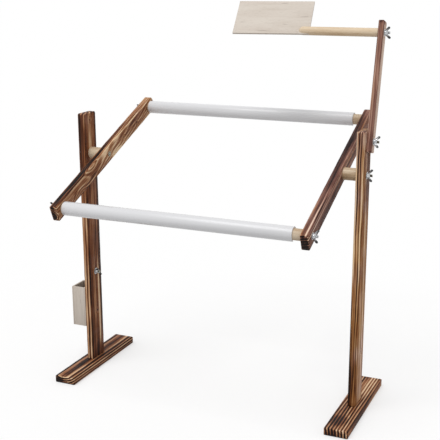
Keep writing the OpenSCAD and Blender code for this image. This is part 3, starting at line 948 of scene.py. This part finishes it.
def plywood(name, place, thickness, face, grain, waves, inside=0):
    """Birch plywood.

    Grain is how fast the veneer changes along the sheet's own axes, per metre, and waves how much
    it wanders. Inside is 1 or -1 where the sheet's own Y, or the other way, points into a box.
    """
    material, shader = new_material(name)
    point = own_point(material, place)
    colour, fibre = veneer(material, point, face, grain, waves)
    # Painted shade: the side of a box panel that looks inwards is darkened
    height = add(material, "SeparateXYZ", {0: point}).outputs[1]
    inwards = add(material, "Math", {0: height, 1: inside}, operation="MULTIPLY")
    inner_shade = add(material, "MapRange", {"Value": inwards, "From Min": thickness * 0.3,
                                      "From Max": thickness * 0.5, "To Max": 0.45})
    depth = add(material, "Math", {0: height}, operation="ABSOLUTE")
    core = add(material, "MapRange", {"Value": depth, "From Min": thickness * 0.15,
                                      "From Max": thickness * 0.2, "To Min": 1, "To Max": 0})
    glue = add(material, "MapRange", {"Value": depth, "From Min": thickness * 0.5,
                                      "From Max": thickness * 0.36, "To Max": 0.18})
    # The painted shade inside the box mixes towards the first of these browns
    for share, tint in ((inner_shade, "#6c5c4e"), (core, "#cabfb4"), (glue, "#b8a898")):
        colour = add(material, "Mix", {0: share, 6: colour, 7: linear(tint)}, data_type="RGBA")
    bump = add(material, "Bump", {"Height": fibre, "Strength": 0.2, "Distance": 0.15 * MM})
    feed(material, shader, {"Base Color": colour, "Normal": bump, "Roughness": 0.7,
                            "Specular IOR Level": 0.25})
    return material


place = plate_place.copy()
place.translation = plate_place @ Vector(((KERF - PLATE.x) / 2, 0, PLATE.z / 2 - PLATE_BELOW))
ply = plywood("birch plywood, plate", place, PLATE.y, PLATE_VENEER, PLATE_GRAIN, 0.6)
mesh = board_mesh(PLATE, ease=PLY_EASE, wear=0)
piece("pattern_sheet", mesh, place, ply, "arm_body", "pattern_plate")
print("plate", [round(v / MM) for v in PLATE])

# %% [markdown]
# ## Sheets from an outline
# A sheet that isn't a plain rectangle is drawn flat, as a face with a few corners. Some of the
# corners are bevelled round, and the face is then extruded by the thickness of the sheet.

# %% Sheets
CORNER_SEGMENTS = 12


def slab(outline, thickness, round_corners=(), radius=0):
    """A sheet in its own XZ plane, from the corners of its outline, centred on its thickness."""
    bm = bmesh.new()
    corners = [bm.verts.new((x, -thickness / 2, z)) for x, z in outline]
    bm.faces.new(corners)
    if round_corners:
        bmesh.ops.bevel(bm, geom=[corners[i] for i in round_corners], affect="VERTICES", offset=radius,
                        segments=CORNER_SEGMENTS, profile=0.5, material=-1)
    grown = bmesh.ops.extrude_face_region(bm, geom=bm.faces[:])
    moved = [v for v in grown["geom"] if isinstance(v, bmesh.types.BMVert)]
    bmesh.ops.translate(bm, vec=(0, thickness, 0), verts=moved)
    bmesh.ops.recalc_face_normals(bm, faces=bm.faces)
    return bm


print("a round corner of a sheet has", CORNER_SEGMENTS, "segments")

# %% [markdown]
# ## The tool box
# Five pieces of the same plywood, glued and pinned with brads. Its back board has a rounded tab
# with the bolt hole.
#
# The brads of the CAD model are plain pins, which is all that brads are, so they stay and get
# a metal later. Here they punch their own holes: a copy of them, whose loose triangles are
# merged first, is cut out of each panel.

# %% Tool box
PLY = 4 * MM
TAB_WIDTH = 36 * MM
# What is left straight between the tab's two round corners, so that they don't run together
TAB_FLAT = 0.02 * MM
BOX_VENEER = ("#c8bcb0", "#d3c8bc", "#dad0c5")
# Streaks 10 mm wide and 125 mm long, as changes per metre along a panel's own axes
BOX_GRAIN = (95, 95, 8)
# A box panel's width runs along the first direction and its thickness along the second. The
# number says whether that second direction points into the box.
panel_axes = {
    "box_front": (X, Y, 1),
    "box_rear": (X, Y, -1),
    "box_outer": (Y, -X, -1),
    "box_back": (Y, -X, 1),
    "box_bottom": (X, -Z, -1),
}
brads = frame["nodes"]["box_brads"]
for node, (wide, thick, inside) in panel_axes.items():
    centre, extent = middle_and_extent(node)
    place = axes(wide, thick, wide.cross(thick), centre)
    half, top = [abs(direction.dot(extent)) / 2 for direction in (wide, wide.cross(thick))]
    outline = [(-half, -top), (half, -top), (half, top), (-half, top)]
    rounded, radius = (), 0
    if node == "box_back":
        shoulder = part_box("box_outer")[1].z - centre.z
        tab = TAB_WIDTH / 2
        outline[2:] = [(half, shoulder), (tab, shoulder), (tab, top), (-tab, top), (-tab, shoulder),
                       (-half, shoulder)]
        rounded, radius = (4, 5), tab - TAB_FLAT / 2
    mesh = slab(outline, PLY, rounded, radius)
    round_edges(mesh, sharp_edges(mesh), PLY_EASE, segments=2)
    if node == "box_back":
        mesh = bore(mesh, 0, box_bolt.z - centre.z)
    punch = bmesh.new()
    punch.from_mesh(brads.data)
    bmesh.ops.remove_doubles(punch, verts=punch.verts, dist=MERGE)
    mesh = boolean(mesh, placed(punch, place.inverted() @ brads.matrix_world), "DIFFERENCE")
    ply = plywood("birch plywood, " + node.replace("_", " "), place, PLY, BOX_VENEER, BOX_GRAIN, 0.3,
                  inside)
    piece(node + "_panel", mesh, place, ply, "tool_box", node)
print("box panels", len(panel_axes))

# %% [markdown]
# ## The cloth clips
# Each clip is a length of white PVC pipe with a mouth sawn along it. It pinches the cloth on
# the roller. A short rectangle, which is the section of the wall seen from the side, is spun
# about the roller's axis through all of the circle except the mouth. Its edges are then eased.
#
# Extruded PVC is smooth and a little glossy, with faint draw lines along its length.

# %% PVC clips
CLIP_INNER = 12.8 * MM
CLIP_OUTER = 16 * MM
CLIP_EASE = 0.7 * MM
MOUTH = math.radians(100)
MOUTH_DOWN = math.radians(60)
# Changes per metre along the pipe and across it. Draw lines are drawn 1.4 mm apart, coarser than
# they are, so that they show, and the clouds are 17 mm wide.
LINE_RATE = (2.5, 700, 700)
CLOUD_RATE = (2, 60, 60)

pvc, shader = new_material("white PVC pipe")
point = add(pvc, "TexCoord").outputs["Object"]
drawn = add(pvc, "VectorMath", {0: point, 1: LINE_RATE}, operation="MULTIPLY")
lines = add(pvc, "TexNoise", {"Vector": drawn, "Scale": 1, "Detail": 2})
wide = add(pvc, "VectorMath", {0: point, 1: CLOUD_RATE}, operation="MULTIPLY")
clouds = add(pvc, "TexNoise", {"Vector": wide, "Scale": 1, "Detail": 3})
rub = add(pvc, "MapRange", {"Value": clouds, "From Min": 0.35, "From Max": 0.7, "To Min": 0.24,
                            "To Max": 0.34})
feed(pvc, shader, {
    "Base Color": add(pvc, "ValToRGB", {"Fac": clouds}, stops=[(0.35, "#dcdcde"), (0.65, "#e3e3e5")]),
    "Normal": add(pvc, "Bump", {"Height": lines, "Strength": 0.12, "Distance": 0.1 * MM}),
    "Roughness": rub, "IOR": 1.53})

for end in ("front", "back"):
    node = end + "_clip"
    start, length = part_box(node)[0].x, middle_and_extent(node)[1].x
    axis = joints[end + "_roller_turn"]
    mesh = bmesh.new()
    corners = [mesh.verts.new(corner) for corner in (
        (0, CLIP_INNER, 0), (length, CLIP_INNER, 0), (length, CLIP_OUTER, 0), (0, CLIP_OUTER, 0))]
    section = mesh.faces.new(corners)
    # The section starts at one lip of the mouth and is spun round to the other
    placed(mesh, Matrix.Rotation(MOUTH / 2 - MOUTH_DOWN, 4, "X"))
    bmesh.ops.spin(mesh, geom=[section, *section.edges, *corners], cent=(0, 0, 0), axis=(1, 0, 0),
                   angle=math.tau - MOUTH, steps=80)
    bmesh.ops.recalc_face_normals(mesh, faces=mesh.faces)
    round_edges(mesh, sharp_edges(mesh), CLIP_EASE, segments=2)
    piece(end + "_pipe_clip", mesh, Matrix.Translation(at(start, axis)), pvc, end + "_clip_body", node)
print("clips", round(length / MM), "mm long")

# %% [markdown]
# ## Zinc plated hardware
# Bolts, washers and wing nuts are steel with a bright zinc plate. That is a metal: its colour
# tints what it mirrors. Handling and the plating bath leave it slightly cloudy, so the
# roughness wanders. The ears of the wing nuts get painted shade, and are rougher too.

# %% Zinc plate
def plated(name, bright, dull, rough):
    """Zinc plated steel, with a cloudy gloss in spots of 3 mm and a grain of half a millimetre."""
    material, shader = new_material(name)
    point = add(material, "TexCoord").outputs["Object"]
    cloud = add(material, "TexNoise", {"Vector": point, "Scale": 320, "Detail": 3, "Roughness": 0.6})
    tint = add(material, "ValToRGB", {"Fac": cloud}, stops=[(0.38, dull), (0.6, bright)])
    # The mesh of a wing nut says how much painted shade its vertices have, and the other pieces have
    # none
    ear_shade = add(material, "Attribute", attribute_name="ear_shade").outputs["Fac"]
    gloss = add(material, "MapRange", {"Value": cloud, "To Min": rough + 0.14, "To Max": rough - 0.08})
    grain = add(material, "TexNoise", {"Vector": point, "Scale": 2200, "Detail": 2})
    feed(material, shader, {
        # The painted shade darkens the ears towards near black, and makes them rougher
        "Base Color": add(material, "Mix", {0: ear_shade, 6: tint, 7: linear("#222321")}, data_type="RGBA"),
        "Roughness": add(material, "Math", {0: ear_shade, 1: 0.3, 2: gloss}, operation="MULTIPLY_ADD"),
        "Normal": add(material, "Bump", {"Height": grain, "Strength": 0.15, "Distance": 0.05 * MM}),
        "Metallic": 1})
    return material


zinc = plated("zinc plated steel", "#d6d7d8", "#96989a", 0.26)
bolt_zinc = plated("zinc plated steel, handled", "#a8a495", "#555146", 0.34)
yellow_zinc = plated("yellow zinc plated steel", "#c7a765", "#9c7f48", 0.34)


def hardware(name, bm, place, body, node, metal=zinc):
    """A piece of plated steel."""
    piece(name, bm, place, metal, body, node)


print("metals", [metal.name for metal in (zinc, bolt_zinc, yellow_zinc)])

# %% [markdown]
# ## Threads
# A thread is a small V that climbs as it turns. The section of one turn is spun through every
# turn at once, and moves up by one pitch each time round, so neighbouring turns meet and merge.
# The two open ends are filled.

# %% Threads
BOLT_R = 3 * MM
PITCH = 1 * MM
THREAD_ROOM = 0.02 * MM
THREAD_DEPTH = 0.6 * MM
TURN_STEPS = 20
# Where the crest of a thread starts and ends, as shares of its pitch
CREST = (0.42, 0.58)


def thread(length, pitch=PITCH, outer=BOLT_R - THREAD_ROOM, depth=THREAD_DEPTH):
    """A threaded rod on Z, from 0 to its length."""
    bm = bmesh.new()
    turns = round(length / pitch) - 1
    crest = [(outer, share * pitch) for share in CREST]
    v_line = [(outer - depth, 0), *crest, (outer - depth, pitch)]
    points = [bm.verts.new((r, 0, z)) for r, z in v_line]
    edges = [bm.edges.new(pair) for pair in zip(points, points[1:])]
    bmesh.ops.spin(bm, geom=points + edges, cent=(0, 0, 0), axis=(0, 0, 1), angle=math.tau * turns,
                   steps=TURN_STEPS * turns, dvec=(0, 0, pitch / TURN_STEPS))
    bmesh.ops.remove_doubles(bm, verts=bm.verts, dist=MERGE)
    bmesh.ops.holes_fill(bm, edges=[e for e in bm.edges if len(e.link_faces) == 1], sides=0)
    bmesh.ops.triangulate(bm, faces=[f for f in bm.faces if len(f.verts) > 4])
    bmesh.ops.recalc_face_normals(bm, faces=bm.faces)
    return bm


print("threads have", TURN_STEPS, "steps a turn")

# %% [markdown]
# ## Bolts
# A carriage bolt has a round head and a square neck that bites into the wood. A hanger bolt is
# a wood screw at one end, for the dowel, and a machine thread at the other, for its wing nut.
# Each is a few simple meshes, moved along Z and joined in one.

# %% Bolts
HEAD_R, HEAD_H, HEAD_RIM = 6.5 * MM, 3 * MM, 0.5 * MM
DOME_STEPS = 10
NECK = 3 * MM
THREADED = 24 * MM
# A wood screw: its pitch, how deep its thread is, its point, and how far that runs into the thread
SCREW_PITCH, SCREW_DEPTH = 2 * MM, 0.9 * MM
POINT, POINT_OVERLAP = 4.5 * MM, 0.5 * MM
SHANK, SHANK_ROOM = 6 * MM, 0.1 * MM


def moved_up(bm, height):
    """The same mesh, moved along Z."""
    return placed(bm, Matrix.Translation((0, 0, height)))


def join(*parts):
    """Several meshes in one."""
    bm = bmesh.new()
    for part in parts:
        mesh = mesh_from("part", part)
        bm.from_mesh(mesh)
        bpy.data.meshes.remove(mesh)
    return bm


def carriage_bolt(length):
    """A round head under z = 0, a square neck, a plain shank and a threaded end."""
    sphere_r = (HEAD_R ** 2 + HEAD_H ** 2) / (2 * HEAD_H)
    reach = math.asin(HEAD_R / sphere_r)
    dome = [(sphere_r * math.sin(a), sphere_r - HEAD_H - sphere_r * math.cos(a))
            for a in [reach * step / DOME_STEPS for step in range(DOME_STEPS)]]
    plain = length - THREADED
    head = dome + [(HEAD_R, -HEAD_RIM), (HEAD_R, 0), (BOLT_R, 0), (BOLT_R, plain), (0, plain)]
    neck = block(2 * BOLT_R, 2 * BOLT_R, NECK)
    return join(lathe(head, steps=48), moved_up(neck, NECK / 2), moved_up(thread(THREADED), plain))


def hanger_bolt(length):
    """A wood screw below z = 0, which ends in a point, and a machine thread above."""
    outer, point_end = BOLT_R - SHANK_ROOM, POINT - HANGER_DEPTH
    start = point_end - POINT_OVERLAP
    screw = thread(-start - SHANK, SCREW_PITCH, outer, SCREW_DEPTH)
    shank = lathe([(0, -SHANK), (outer, -SHANK), (outer, 0), (0, 0)], steps=32)
    point = lathe([(0, -HANGER_DEPTH), (outer - SCREW_DEPTH, point_end), (0, point_end)], steps=32)
    return join(moved_up(screw, start), shank, point, thread(length))


print("carriage bolts are threaded for", round(THREADED / MM), "mm")

# %% [markdown]
# ## Bolts in their places
# The outer and inner faces of the boards say where each bolt starts and how long it is. Every
# thread stands 13 mm proud of the last face that it goes through, which leaves room for a
# washer and a wing nut.

# %% Place the bolts
PROUD = 13 * MM
rail_in, rail_out = [corner.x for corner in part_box("right_rail")]
upright_in, upright_out = [corner.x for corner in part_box("right_upright")]
mast_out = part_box("mast")[1].x
front_roller, back_roller = joints["front_roller_turn"], joints["back_roller_turn"]


def outwards(side, point, turn=0):
    """The matrix that stands a piece's own Z outwards along X on that side, at a point, and then
    turns it about X."""
    stand_out = Matrix.Rotation(side * math.pi / 2, 4, "Y")
    return Matrix.Translation(point) @ Matrix.Rotation(turn, 4, "X") @ stand_out


for side, sign in (("left", -1), ("right", 1)):
    hardware(side + "_pivot_carriage_bolt", carriage_bolt(upright_out - rail_in + PROUD),
             outwards(sign, at(sign * rail_in, pivot), TILT), "work_frame", "pivot_bolts", bolt_zinc)
    for end, axis in (("front", front_roller), ("back", back_roller)):
        hardware(end + "_" + side + "_hanger_bolt", hanger_bolt(rail_out - rail_in + PROUD),
                 outwards(sign, at(sign * rail_in, axis)), end + "_roller", end + "_hanger_bolts")
hardware("mast_carriage_bolt", carriage_bolt(mast_out - upright_in + PROUD),
         outwards(1, at(upright_in, mast_bolt)), "legs", "mast_bolt", bolt_zinc)
hardware("arm_hanger_bolt", hanger_bolt(mast_out - upright_out + PROUD),
         outwards(1, arm_end), "arm_body", "arm_bolt")
hardware("box_carriage_bolt", carriage_bolt(PLY + upright_out - upright_in + PROUD),
         outwards(1, at(-upright_out - PLY, box_bolt)), "tool_box", "box_bolt", bolt_zinc)
print("bolts stand", PROUD / MM, "mm proud")

# %% [markdown]
# ## Washers and wing nuts
# A washer is a spun ring with its outer edge pressed round. A wing nut has a hub that narrows
# upwards and two ears. One ear is drawn flat by its outline, given its thickness and rounded
# with a bevel; the other is its copy, turned half round. A Boolean joins them to the hub.
#
# The ears are darkened by painted shade. Each vertex carries a number that says how much, and the
# zinc reads it with an Attribute node. It grows over the first millimetres outside the hub.

# %% Washers and wing nuts
WASHER_R, WASHER_T, WASHER_RIM = 8 * MM, 1.2 * MM, 0.35 * MM
HUB_R, HUB_TOP_R, HUB_H, HUB_RIM = 5.5 * MM, 4.5 * MM, 6.5 * MM, 0.5 * MM
EAR_T, EAR_EASE = 2.4 * MM, 0.7 * MM
# An ear's faces meet its rim at more than this angle, in radians
EAR_RIM_ANGLE = 1.2
# How dark the painted shade on the ears is, and how far outside the hub it takes to grow
EAR_SHADE, EAR_SHADE_RUN = 0.9, 1.5 * MM
# Corners of an ear, out from the bolt and up from the washer, in millimetres
EAR = [(3.6, 0.5), (5.4, 0.3), (7.4, 2), (10.2, 4.5), (13, 6.9), (14, 9.1), (13.3, 11.2), (11.4, 12),
       (9.4, 11), (7.4, 8.6), (5.2, 6.4), (3.6, 5.8)]


def washer():
    """A washer that lies on z = 0."""
    return lathe([(BORE, 0), (WASHER_R - WASHER_RIM, 0), (WASHER_R, WASHER_RIM),
                  (WASHER_R, WASHER_T - WASHER_RIM), (WASHER_R - WASHER_RIM, WASHER_T),
                  (BORE + WASHER_RIM, WASHER_T), (BORE, WASHER_T - WASHER_RIM)],
                 steps=48, closed=True)


def wing_nut():
    """A wing nut on z = 0, with its ears along X."""
    nut = lathe([(BORE, 0), (HUB_R - HUB_RIM, 0), (HUB_R, HUB_RIM), (HUB_TOP_R, HUB_H - HUB_RIM),
                 (HUB_TOP_R - HUB_RIM, HUB_H), (BORE + HUB_RIM, HUB_H), (BORE, HUB_H - HUB_RIM)],
                steps=40, closed=True)
    for half_turn in (0, math.pi):
        ear = slab([(x * MM, z * MM) for x, z in EAR], EAR_T)
        round_edges(ear, sharp_edges(ear, EAR_RIM_ANGLE), EAR_EASE, segments=3)
        nut = boolean(nut, placed(ear, Matrix.Rotation(half_turn, 4, "Z")), "UNION")
    # Painted shade on the ears, which grows outwards from the hub
    ear_shade = nut.verts.layers.float.new("ear_shade")
    for v in nut.verts:
        out = math.hypot(v.co.x, v.co.y)
        v[ear_shade] = EAR_SHADE * min(1, max(0, (out - HUB_R) / EAR_SHADE_RUN))
    return nut


print("a wing nut spans", round(2 * max(x for x, z in EAR)), "mm")

# %% [markdown]
# ## Nuts in their places
# Each nut sits on its washer at the end of a bolt. The washer rides on the body that it lies
# against, and the nut on a body of its own, since every nut turns. The nine nuts are copies of
# one mesh, each turned as it was left on the real stand.

# %% Place the washers and nuts
# Each nut: its side, where its washer lies, that washer's body and node, and how it was left, in
# degrees about X from ears upright
nuts = {
    "left_pivot": (-1, at(-upright_out, pivot), "legs", "pivot_washers", -12),
    "right_pivot": (1, at(upright_out, pivot), "legs", "pivot_washers", -12),
    "front_left": (-1, at(-rail_out, front_roller), "work_frame", "roller_washers", 25),
    "front_right": (1, at(rail_out, front_roller), "work_frame", "roller_washers", -20),
    "back_left": (-1, at(-rail_out, back_roller), "work_frame", "roller_washers", 65),
    "back_right": (1, at(rail_out, back_roller), "work_frame", "roller_washers", -50),
    "mast": (1, at(mast_out, mast_bolt), "mast_body", "mast_washer", -34),
    "arm": (1, at(mast_out, arm_end), "mast_body", "arm_washer", 20),
    "box": (1, at(-upright_in, box_bolt), "legs", "box_washer", 40),
}
pattern = wing_nut()
for name, (sign, point, body, node, turned) in nuts.items():
    hardware(name + "_steel_washer", washer(), outwards(sign, point), body, node)
    seat = point + sign * WASHER_T * X
    hardware(name + "_wing_nut", pattern.copy(), outwards(sign, seat, math.radians(turned)),
             name + "_nut_body", name + "_nut")
pattern.free()
print("wing nuts", len(nuts))

# %% [markdown]
# ## Screws under the feet, and brads
# Two countersunk screws hold each upright from below. They show when the stand is turned over,
# so their heads get a cross recess. The brads of the tool box are the CAD model's own.

# %% Screws and brads
SCREW_LENGTH = 50 * MM
SCREW_SHANK = 12 * MM
SCREW_CORE_R, SCREW_POINT_R = 1.6 * MM, 1.4 * MM
RECESS = (4 * MM, 0.9 * MM, 3 * MM)


def wood_screw():
    """A countersunk screw with its head in z = 0 and its point up."""
    screw = lathe([(0, 0), (SCREW_HEAD_R, 0), (SCREW_R, SCREW_HEAD_H), (SCREW_CORE_R, SCREW_SHANK),
                   (0, SCREW_SHANK)], steps=40)
    for quarter_turn in (0, math.pi / 2):
        blade = placed(block(*RECESS), Matrix.Rotation(quarter_turn, 4, "Z"))
        screw = boolean(screw, blade, "DIFFERENCE")
    point_start = SCREW_LENGTH - POINT
    threaded = point_start + POINT_OVERLAP - SCREW_SHANK
    body = thread(threaded, SCREW_PITCH, SCREW_R - SCREW_ROOM / 2, THREAD_DEPTH)
    point = lathe([(0, point_start), (SCREW_POINT_R, point_start), (0, SCREW_LENGTH)], steps=24)
    return join(screw, moved_up(body, SCREW_SHANK), point)


pattern = wood_screw()
for side in ("left", "right"):
    for end, where in screw_places(side).items():
        name = side + "_" + end + "_foot_screw"
        place = Matrix.Translation(where + SCREW_SINK * Z)
        hardware(name, pattern.copy(), place, "legs", "foot_screws", yellow_zinc)
pattern.free()
brads.data.materials.clear()
brads.data.materials.append(zinc)
print("screws are", round(SCREW_LENGTH / MM), "mm long")
